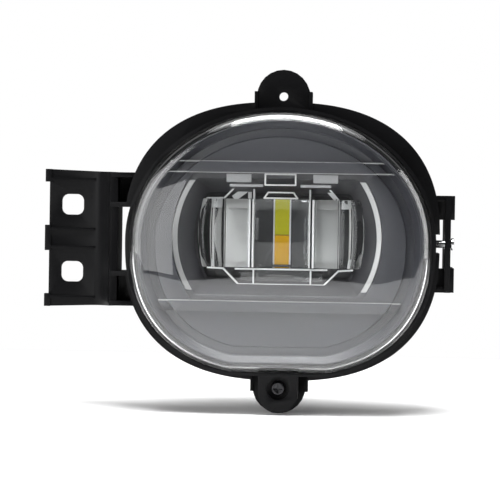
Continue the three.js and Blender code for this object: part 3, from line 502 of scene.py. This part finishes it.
move_points(dish, lambda co: True, lean_back)
pick_faces(dish, lambda middle, normal: SHELF_TOP[0] < middle.z < SHELF_TOP[1] and abs(normal.y) > 0.8
           and middle.y > DISH_FRONT + 2.0 * MM)
bpy.ops.mesh.extrude_region_move(TRANSFORM_OT_translate={"value": (0, -3.2 * MM, 0)})
pick_faces(dish, lambda middle, normal: SHELF_LOW[0] < middle.z < SHELF_LOW[1] and abs(normal.y) > 0.8
           and middle.y > DISH_FRONT + 2.0 * MM)
bpy.ops.mesh.extrude_region_move(TRANSFORM_OT_translate={"value": (0, -3.2 * MM, 0)})
bpy.ops.object.mode_set(mode="OBJECT")
apply_modifier(dish, "SOLIDIFY", thickness=1.6 * MM, offset=-1.0)

apply_modifier(dish, "BEVEL", width=0.5 * MM, segments=2, limit_method="ANGLE", angle_limit=math.radians(35))
bpy.ops.object.shade_smooth_by_angle(angle=math.radians(30))

# Pale beads along the shelves' edges, in a lighter satin than the moulding: painted highlights where the
# edges catch the top light.
SHELF_Y = DISH_FRONT + 1.4 * MM + LEAN * (DISH_UP - SHELF_TOP[1]) - 3.2 * MM

trim_grey = grained("trim_grey", (0.024, 0.025, 0.03, 1.0), (0.031, 0.032, 0.038, 1.0), 0.4, 1300.0, 0.01)
dress(dish, trim_grey, "bezel_grey", "lamp", "inner_bezel")


# The funnel narrows from the opening to the frame of the optic.
LIP_Y = DISH_FRONT + 1.8 * MM + LEAN * (DISH_UP - SHELF_TOP[1])
FUNNEL_PROFILE = (
    (0.4, LIP_Y), (-3.2, LIP_Y + 1.0 * MM), (-3.8, LIP_Y + 3.0 * MM), (-6.5, LIP_Y + 9.0 * MM),
    (-10.5, -13.0 * MM), (-12.0, -12.4 * MM),
)
funnel_rings = [
    (lambda turn, grow=grow: opening_reach(turn, grow * MM), y) for grow, y in FUNNEL_PROFILE
]
funnel = ring_skin("bezel_funnel", 180, 0.0, funnel_rings)
apply_modifier(funnel, "SOLIDIFY", thickness=1.0 * MM, offset=-1.0)
apply_modifier(funnel, "BEVEL", width=0.25 * MM, segments=2, limit_method="ANGLE",
               angle_limit=math.radians(28))
bpy.ops.object.shade_smooth_by_angle(angle=math.radians(30))
funnel_dark = grained("funnel_dark", (0.02, 0.02, 0.023, 1.0), (0.03, 0.03, 0.034, 1.0), 0.35, 1300.0, 0.05)
dress(funnel, funnel_dark, "bezel_grey", "lamp")


# A block between two corners given from the lamp's middle, with its edges rounded.
def block(name, low, high, radius=0.25 * MM, cuts=0):
    bpy.ops.object.select_all(action="DESELECT")
    middle = [(a + b) / 2 for a, b in zip(low, high)]
    bpy.ops.mesh.primitive_cube_add(size=1.0, location=(MID_X + middle[0], middle[1], middle[2]))
    piece = bpy.context.object
    piece.name = name
    piece.scale = [b - a for a, b in zip(low, high)]
    bpy.ops.object.transform_apply()
    if radius > 0:
        apply_modifier(piece, "BEVEL", width=radius, segments=2, limit_method="ANGLE")
    if cuts:
        bpy.ops.object.mode_set(mode="EDIT")
        bpy.ops.mesh.select_all(action="SELECT")
        bpy.ops.mesh.subdivide(number_cuts=cuts)
        bpy.ops.object.mode_set(mode="OBJECT")
    bpy.ops.object.shade_smooth_by_angle(angle=math.radians(35))
    return piece


def join_all(name, pieces):
    bpy.ops.object.select_all(action="DESELECT")
    for piece in pieces:
        piece.select_set(True)
    bpy.context.view_layer.objects.active = pieces[0]
    bpy.ops.object.join()
    pieces[0].name = name
    return pieces[0]


# A straight bar between two points of the front view.
def edge_bar(start, finish, thick, front, back):
    run = (finish[0] - start[0], finish[1] - start[1])
    length = math.hypot(*run) * MM
    turn = math.atan2(run[1], run[0])
    bar = block("bar", (-length / 2 - thick / 2, front, -thick / 2),
                (length / 2 + thick / 2, back, thick / 2), 0.2 * MM)
    middle = ((start[0] + finish[0]) / 2 * MM, (start[1] + finish[1]) / 2 * MM)
    mesh = bmesh.new()
    mesh.from_mesh(bar.data)
    for point in mesh.verts:
        x, z = point.co.x - MID_X, point.co.z
        point.co.x = MID_X + middle[0] + x * math.cos(turn) - z * math.sin(turn)
        point.co.z = middle[1] + x * math.sin(turn) + z * math.cos(turn)
    mesh.to_mesh(bar.data)
    mesh.free()
    return bar


# Satin trims stand in the two round sides of the opening, one left and one right.
# The same satin also serves as the painted highlight on the shelf beads below.
satin_trim_and_highlight = grained("satin_trim_and_highlight", (0.30, 0.30, 0.30, 1.0), (0.38, 0.38, 0.375, 1.0), 0.3,
                     1800.0, 0.03, 40.0, 0.6)
# How far each edge of a trim lies outside the opening, and where it stands front to back.
TRIM_SECTION = (
    (-0.2, LIP_Y - 0.1 * MM), (-0.5, LIP_Y - 0.5 * MM), (-2.9, LIP_Y + 0.2 * MM), (-3.1, LIP_Y + 0.8 * MM),
)
TRIM_TOP = 31.5 * MM
TRIM_LOW = -25.5 * MM
for side in (-1, 1):
    trim = ring_skin("bezel_trim_" + ("left" if side < 0 else "right"), 180, 0.0, [
        (lambda turn, grow=grow: opening_reach(turn, grow * MM), y) for grow, y in TRIM_SECTION
    ])
    only(trim)
    bpy.ops.object.mode_set(mode="EDIT")
    for normal, level in (((0, 0, 1), TRIM_TOP), ((0, 0, -1), TRIM_LOW)):
        bpy.ops.mesh.select_all(action="SELECT")
        bpy.ops.mesh.bisect(plane_co=(MID_X, 0, level), plane_no=normal, clear_outer=True)
    bpy.ops.mesh.select_all(action="SELECT")
    bpy.ops.mesh.bisect(plane_co=(MID_X, 0, 0), plane_no=(-side, 0, 0), clear_outer=True)
    bpy.ops.object.mode_set(mode="OBJECT")
    apply_modifier(trim, "SOLIDIFY", thickness=0.6 * MM, offset=-1.0)
    bpy.ops.object.shade_smooth_by_angle(angle=math.radians(35))
    dress(trim, satin_trim_and_highlight, "bezel_grey", "lamp")

# A pale bead runs along the front edge of each shelf as a painted highlight: its two ends and its height, in
# millimetres.
SHELF_HIGHLIGHT_BEADS = ((-58.0, 56.0, 41.5), (-61.0, 61.0, 35.9), (-63.0, 63.0, -31.1))
beads = []
for x0, x1, z in SHELF_HIGHLIGHT_BEADS:
    beads.append(block("bead", (x0 * MM, SHELF_Y - 0.3 * MM, (z - 0.35) * MM),
                       (x1 * MM, SHELF_Y + 0.5 * MM, (z + 0.35) * MM), 0.3 * MM))
dress(join_all("shelf_highlight_beads", beads), satin_trim_and_highlight, "bezel_grey", "lamp")

# ---------------------------------------------------------------- optic
# One clear acrylic moulding in front of the LED board: a barrel in the middle, a fluted wing on each side,
# and shallow trays above and below whose edges carry the light as white lines, given here as painted
# highlights.
OPTIC_MID = 4.2 * MM
OPTIC_HALF_H = 18.0 * MM
OPTIC_FRONT = -22.0 * MM
OPTIC_BACK = -10.4 * MM
BARREL_HALF_W = 14.3 * MM
WING_IN = 17.5 * MM
WING_OUT = 41.5 * MM
TRAY_EDGE = 0.9 * MM

optic_clear = clear_resin("optic_clear", (0.96, 0.97, 0.97, 1.0), 0.0, 1.49)
barrel = block("optic_barrel", (-BARREL_HALF_W, OPTIC_FRONT - 2.0 * MM, OPTIC_MID - OPTIC_HALF_H),
               (BARREL_HALF_W, OPTIC_BACK + 1.2 * MM, OPTIC_MID + OPTIC_HALF_H), 0.5 * MM, 6)
move_points(barrel, lambda co: co.y < OPTIC_FRONT + 2.0 * MM,
            lambda co: Vector((co.x, co.y + 1.6 * MM * ((co.z - OPTIC_MID) / OPTIC_HALF_H) ** 2, co.z)))
dress(barrel, optic_clear, "clear_optic", "lamp", "optic")


# Bows a wing's outer end and cuts its two upright flutes.
def wing_shape(co):
    out = abs(co.x - MID_X)
    side = math.copysign(1.0, co.x - MID_X)
    up = (co.z - OPTIC_MID) / OPTIC_HALF_H
    grow = 2.4 * MM * (1 - up * up) * max(0.0, (out - 30 * MM) / (WING_OUT - 30 * MM))
    flute = 0.0
    if out > 30.3 * MM and co.y < OPTIC_FRONT + 1.0 * MM:
        flute = 1.6 * MM * abs(math.sin(math.pi * (out - 30.3 * MM) / (5.6 * MM)))
    return Vector((co.x + side * grow, co.y - flute + 1.0 * MM, co.z))


for side in (-1, 1):
    ends = sorted((side * WING_IN, side * WING_OUT))
    wing = block("optic_wing_" + ("left" if side < 0 else "right"),
                 (ends[0], OPTIC_FRONT, OPTIC_MID - OPTIC_HALF_H),
                 (ends[1], OPTIC_BACK, OPTIC_MID + OPTIC_HALF_H), 0.6 * MM, 20)
    move_points(wing, lambda co: True, wing_shape)
    dress(wing, optic_clear, "clear_optic", "lamp")

# Pale opaque bars stand where the clear optic's walls, tray edges and facets catch light: painted highlights.
painted_edge_light = grained("painted_edge_light", (0.62, 0.63, 0.63, 1.0), (0.74, 0.75, 0.75, 1.0), 0.2, 1200.0, 0.02, 60.0)
wall_y = (OPTIC_FRONT - 1.0 * MM, OPTIC_BACK + 1.0 * MM)
walls = []
for x0, x1 in ((-17.3, -16.3), (-15.4, -14.5), (14.5, 15.2), (16.2, 17.3)):
    walls.append(block("wall", (x0 * MM, wall_y[0], OPTIC_MID - OPTIC_HALF_H),
                       (x1 * MM, wall_y[1], OPTIC_MID + OPTIC_HALF_H), 0.2 * MM))
dress(join_all("optic_wall_highlights", walls), painted_edge_light, "clear_optic", "lamp")

# Trays: the long edges, the slanted ends and the dividers of each, in one piece, painted pale as highlights.
tray_y = (-18.6 * MM, -14.0 * MM)
LOWER_TRAY = (
    ((-38.7, -14.2), (-30.6, -14.6)), ((-30.6, -14.6), (-22.6, -22.8)),
    ((-22.6, -22.8), (22.6, -22.8)), ((22.6, -22.8), (30.2, -15.2)),
    ((30.2, -15.2), (37.5, -14.6)), ((-14.6, -14.9), (-14.6, -22.5)),
    ((15.6, -14.9), (15.6, -22.5)), ((-24.0, -14.7), (24.0, -14.7)),
)
UPPER_TRAY = (
    ((-30.3, 22.8), (-25.3, 28.0)), ((-25.3, 28.0), (-14.8, 28.0)),
    ((24.8, 28.0), (29.6, 22.4)), ((-14.8, 22.6), (-14.8, 28.0)),
    ((14.8, 22.6), (14.8, 28.0)), ((16.0, 28.0), (24.8, 28.0)),
    ((-39.5, 22.4), (-31.5, 22.6)),
)
for name, edges in (("tray_lower", LOWER_TRAY), ("tray_upper", UPPER_TRAY)):
    bars = [edge_bar(start, finish, TRAY_EDGE, *tray_y) for start, finish in edges]
    dress(join_all(name, bars), painted_edge_light, "clear_optic", "lamp")
tray_plate = block("tray_plate", (-22.0 * MM, -15.0 * MM, -22.4 * MM),
                   (22.0 * MM, -14.0 * MM, -14.6 * MM), 0.2 * MM)
dress(tray_plate, optic_clear, "clear_optic", "lamp")

# ---------------------------------------------------------------- reflectors and chrome inserts
# Vacuum-coated panels behind the wings, each with a lip at the top that catches the light, a
# small chrome frame over the barrel, and strips beside the dark window above it.
silver = grained("silver_coat", (0.60, 0.60, 0.59, 1.0), (0.70, 0.70, 0.69, 1.0), 0.42,
                 900.0, 0.03, 25.0, 0.55)
for side in ("left", "right"):
    panel = rounded_copy("reflector_" + side, "panel_" + side, 0.0002)
    dress(panel, silver, "silver_coat", "lamp", "reflector_" + side)
# Facets of the upper tray and of the wings' corners, painted pale as highlights.
facets = [
    edge_bar((-24.4, 23.4), (-19.4, 27.2), 3.4 * MM, -14.6 * MM, -14.0 * MM),
    edge_bar((-17.2, 23.4), (-17.2, 27.4), 2.0 * MM, -14.2 * MM, -13.6 * MM),
    edge_bar((24.2, 26.8), (27.6, 23.0), 1.6 * MM, -14.6 * MM, -14.0 * MM),
]
# The corner facets in millimetres from the lamp's middle: left, right, low, high.
CORNER_FACETS = (
    (-38.6, -33.4, 17.4, 21.6), (33.2, 37.4, 17.4, 21.6),
    (-38.4, -34.8, -13.2, -9.4), (34.2, 37.6, -13.2, -9.0),
)
for x0, x1, z0, z1 in CORNER_FACETS:
    facet = block("facet", (x0 * MM, -12.4 * MM, z0 * MM), (x1 * MM, -11.6 * MM, z1 * MM), 0.25 * MM)
    move_points(facet, lambda co: co.z < (z0 + z1) / 2 * MM,
                lambda co: Vector((co.x * 0.985 + MID_X * 0.015, co.y - 2.2 * MM, co.z)))
    facets.append(facet)
dress(join_all("optic_facet_highlights", facets), painted_edge_light, "clear_optic", "lamp")
slats = []
for side in (-1, 1):
    for near, far, tip in ((31.0, 32.0, 1.0), (34.0, 36.2, -1.6), (37.6, 39.2, 1.2)):
        ends = sorted((side * near * MM, side * far * MM))
        slat = block("slat", (ends[0], -10.2 * MM, -13.4 * MM), (ends[1], -9.6 * MM, 21.8 * MM), 0.15 * MM)
        move_points(slat, lambda co: abs(co.x - MID_X) > (near + far) / 2 * MM,
                    lambda co: Vector((co.x, co.y + tip * MM, co.z)))
        slats.append(slat)
dress(join_all("wing_slats", slats), silver, "silver_coat", "lamp")
lip_bars = []
for x0, x1 in ((-29.6, -17.8), (17.8, 29.8)):
    lip = block("lip", (x0 * MM, -10.2 * MM, 17.2 * MM), (x1 * MM, -9.4 * MM, 22.0 * MM), 0.2 * MM)
    move_points(lip, lambda co: co.z < 19 * MM, lambda co: Vector((co.x, co.y - 4.0 * MM, co.z)))
    lip_bars.append(lip)
dress(join_all("panel_lips", lip_bars), silver, "silver_coat", "lamp")
strips = []
WINDOW_STRIPS = (
    (-28.6, -15.6, 30.8, 35.2), (16.6, 29.6, 30.8, 35.2), (-27.0, -9.5, 28.4, 30.0), (10.0, 26.0, 28.4, 30.0),
)
for x0, x1, z0, z1 in WINDOW_STRIPS:
    strip = block("strip", (x0 * MM, -33.6 * MM, z0 * MM), (x1 * MM, -32.9 * MM, z1 * MM), 0.25 * MM)
    move_points(strip, lambda co: True, lambda co: Vector((co.x, co.y - 0.3 * (co.z - 35 * MM), co.z)))
    strips.append(strip)
strip_grey = grained("strip_grey", (0.22, 0.22, 0.225, 1.0), (0.30, 0.30, 0.305, 1.0), 0.35,
                     1500.0, 0.03, 40.0, 0.5)
dress(join_all("window_strips", strips), strip_grey, "silver_coat", "lamp")
# Two small frames: the four corners of each and how far forward it stands, in millimetres.
CHROME_FRAMES = (
    (((-8.3, 29.6), (7.5, 29.6), (7.5, 35.2), (-8.3, 35.2)), -34.2),
    (((-9.2, 22.8), (8.2, 22.8), (6.2, 25.8), (-7.2, 25.8)), -23.2),
)
frames = []
for corners, front in CHROME_FRAMES:
    for i in range(4):
        frames.append(edge_bar(corners[i], corners[(i + 1) % 4], 0.8 * MM, front * MM, (front + 2.5) * MM))
dress(join_all("chrome_frames", frames), silver, "silver_coat", "lamp")

# ---------------------------------------------------------------- optic holder
# Black frame that carries the optic on four posts of the housing, with its four pan-head screws.
holder_black = grained("holder_black", (0.008, 0.008, 0.009, 1.0), (0.016, 0.016, 0.018, 1.0), 0.35,
                       1500.0, 0.06)
holder = rounded_copy("optic_holder", "holder_frame", 0.0003)
dress(holder, holder_black, "black_plastic", "lamp", "optic_holder")
for number in range(1, 5):
    node = "holder_screw_" + str(number)
    screw_copy = rounded_copy(node, "frame_screw_" + str(number), 0.00012)
    dress(screw_copy, pin_steel, "steel", "lamp", node)

# ---------------------------------------------------------------- LED board and its strips
# Dark solder mask on an aluminium core. Two strips of chips under yellow phosphor and amber
# silicone, the joint between them soft, with white dams down both long sides.
mask = grained("board_mask", (0.028, 0.029, 0.032, 1.0), (0.04, 0.041, 0.045, 1.0), 0.3, 1800.0, 0.03)
board = rounded_copy("led_board", "led_board_core", 0.0001)
dress(board, mask, "board", "lamp", "led_board")


# Phosphor over a row of chips: a lighter square over each chip, a soft grain, and a painted glow from
# emission.
def phosphor(name, low, high, painted_glow):
    material, tree, shader = new_material(name)
    shader.inputs["Roughness"].default_value = 0.6
    shader.inputs["Specular IOR Level"].default_value = 0.15
    place = tree.nodes.new("ShaderNodeTexCoord")
    chips = tree.nodes.new("ShaderNodeTexBrick")
    chips.offset = 0.0
    chips.inputs["Scale"].default_value = 1.0
    chips.inputs["Brick Width"].default_value = 0.0026
    chips.inputs["Row Height"].default_value = 0.0026
    chips.inputs["Mortar Size"].default_value = 0.00012
    chips.inputs["Mortar Smooth"].default_value = 1.0
    chips.inputs["Color1"].default_value = high
    chips.inputs["Color2"].default_value = tuple(0.94 * part for part in high[:3]) + (1.0,)
    chips.inputs["Mortar"].default_value = low
    turn = tree.nodes.new("ShaderNodeMapping")
    turn.inputs["Rotation"].default_value = (math.radians(90), 0, 0)
    tree.links.new(place.outputs["Object"], turn.inputs["Vector"])
    tree.links.new(turn.outputs["Vector"], chips.inputs["Vector"])
    cloud = tree.nodes.new("ShaderNodeTexNoise")
    cloud.inputs["Scale"].default_value = 500.0
    tree.links.new(place.outputs["Object"], cloud.inputs["Vector"])
    blend = tree.nodes.new("ShaderNodeMix")
    blend.data_type = "RGBA"
    blend.inputs["B"].default_value = low
    tree.links.new(chips.outputs["Color"], blend.inputs["A"])
    soft = tree.nodes.new("ShaderNodeMapRange")
    soft.inputs["To Max"].default_value = 0.35
    tree.links.new(cloud.outputs["Fac"], soft.inputs["Value"])
    tree.links.new(soft.outputs["Result"], blend.inputs["Factor"])
    tree.links.new(blend.outputs["Result"], shader.inputs["Base Color"])
    tree.links.new(blend.outputs["Result"], shader.inputs["Emission Color"])
    shader.inputs["Emission Strength"].default_value = painted_glow
    bump = tree.nodes.new("ShaderNodeBump")
    bump.inputs["Strength"].default_value = 0.1
    bump.inputs["Distance"].default_value = 0.0002
    tree.links.new(cloud.outputs["Fac"], bump.inputs["Height"])
    tree.links.new(bump.outputs["Normal"], shader.inputs["Normal"])
    return material


# The emission below is a painted glow: constant, whatever light falls on the strips.
PAINTED_STRIP_GLOW = 0.3               # phosphor gives back part of the daylight that falls on it
white_strip = rounded_copy("led_white", "strip_white", 0.0003)
phosphor_white = phosphor("phosphor_white", (0.33, 0.32, 0.005, 1.0), (0.43, 0.41, 0.008, 1.0), PAINTED_STRIP_GLOW)
dress(white_strip, phosphor_white, "led_white", "lamp", "led_white")
amber_strip = rounded_copy("led_amber", "strip_amber", 0.0003)
phosphor_amber = phosphor("phosphor_amber", (0.5, 0.27, 0.001, 1.0), (0.62, 0.34, 0.002, 1.0), PAINTED_STRIP_GLOW)
dress(amber_strip, phosphor_amber, "led_amber", "lamp", "led_amber")
# The teal and orange bars at the strips' top and bottom ends are painted colour fringes, standing in for the
# lens's dispersion of light.
painted_fringe_teal = grained("painted_fringe_teal", (0.005, 0.10, 0.11, 1.0), (0.01, 0.16, 0.17, 1.0), 0.4)
teal = block("strip_top_painted_fringe", (-3.9 * MM, -7.5 * MM, 20.3 * MM), (3.9 * MM, -6.4 * MM, 21.2 * MM), 0.15 * MM)
dress(teal, painted_fringe_teal, "led_white", "lamp")
painted_fringe_orange = grained("painted_fringe_orange", (0.30, 0.12, 0.01, 1.0), (0.42, 0.18, 0.015, 1.0), 0.4)
orange = block("strip_bottom_painted_fringe", (-3.9 * MM, -7.5 * MM, -12.9 * MM),
               (3.9 * MM, -6.4 * MM, -12.2 * MM), 0.15 * MM)
dress(orange, painted_fringe_orange, "led_amber", "lamp")
dam_white = grained("dam_white", (0.70, 0.72, 0.74, 1.0), (0.80, 0.81, 0.83, 1.0), 0.5)
dams = []
for side in (-1, 1):
    ends = sorted((side * 3.9 * MM, side * 4.7 * MM))
    dams.append(block("dam", (ends[0], -7.6 * MM, -10.5 * MM), (ends[1], -6.3 * MM, 20.3 * MM), 0.15 * MM))
dress(join_all("led_dams", dams), dam_white, "led_white", "lamp")
for number in (1, 2):
    node = "board_screw_" + str(number)
    dress(rounded_copy(node, "core_screw_" + str(number), 0.0001), pin_steel, "steel", "lamp", node)
pad_grey = grained("pad_grey", (0.30, 0.32, 0.34, 1.0), (0.38, 0.40, 0.42, 1.0), 0.8, 700.0, 0.2)
dress(rounded_copy("thermal_pad", "gap_pad", 0.0001), pad_grey, "pad", "lamp", "thermal_pad")

# ---------------------------------------------------------------- heat sink
# Pressure-cast aluminium with nine upright fins, black e-coated, on a rubber seal and four screws.
cast_black = grained("cast_black", (0.02, 0.02, 0.021, 1.0), (0.035, 0.035, 0.036, 1.0), 0.5,
                     900.0, 0.3, 40.0, 0.3)
sink = rounded_copy("heat_sink", "heat_sink_casting", 0.0004)
dress(sink, cast_black, "cast_alloy", "lamp", "heat_sink")
rubber = grained("rubber", (0.012, 0.012, 0.012, 1.0), (0.022, 0.022, 0.022, 1.0), 0.7)
dress(rounded_copy("heat_sink_seal", "sink_gasket", 0.0002), rubber, "rubber", "lamp", "heat_sink_seal")
for number in range(1, 5):
    node = "heat_sink_screw_" + str(number)
    dress(rounded_copy(node, "sink_screw_" + str(number), 0.00012), pin_steel, "steel", "lamp", node)

# ---------------------------------------------------------------- driver, socket and vent
# A small driver board behind the bezel, a two-way plug socket with tinned brass blades, and a
# rubber breather cap that lets the lamp dry out.
driver_green = grained("driver_green", (0.01, 0.035, 0.02, 1.0), (0.015, 0.05, 0.028, 1.0), 0.35)
dress(rounded_copy("driver_board", "driver", 0.0001), driver_green, "board", "lamp", "driver_board")
for number in (1, 2):
    node = "driver_screw_" + str(number)
    dress(rounded_copy(node, "post_screw_" + str(number), 0.0001), pin_steel, "steel", "lamp", node)
brass = grained("brass", (0.62, 0.46, 0.20, 1.0), (0.74, 0.58, 0.30, 1.0), 0.25, 2000.0, 0.05, 80.0, 1.0)
for number in (1, 2):
    node = "contact_pin_" + str(number)
    dress(rounded_copy(node, "blade_" + str(number), 0.0001), brass, "brass", "lamp", node)
socket = rounded_copy("connector_socket", "plug_socket", 0.0003)
dress(socket, housing_black, "black_plastic", "lamp", "connector_socket")
dress(rounded_copy("breather_vent", "vent_cap", 0.0005), rubber, "rubber", "lamp", "breather_vent")
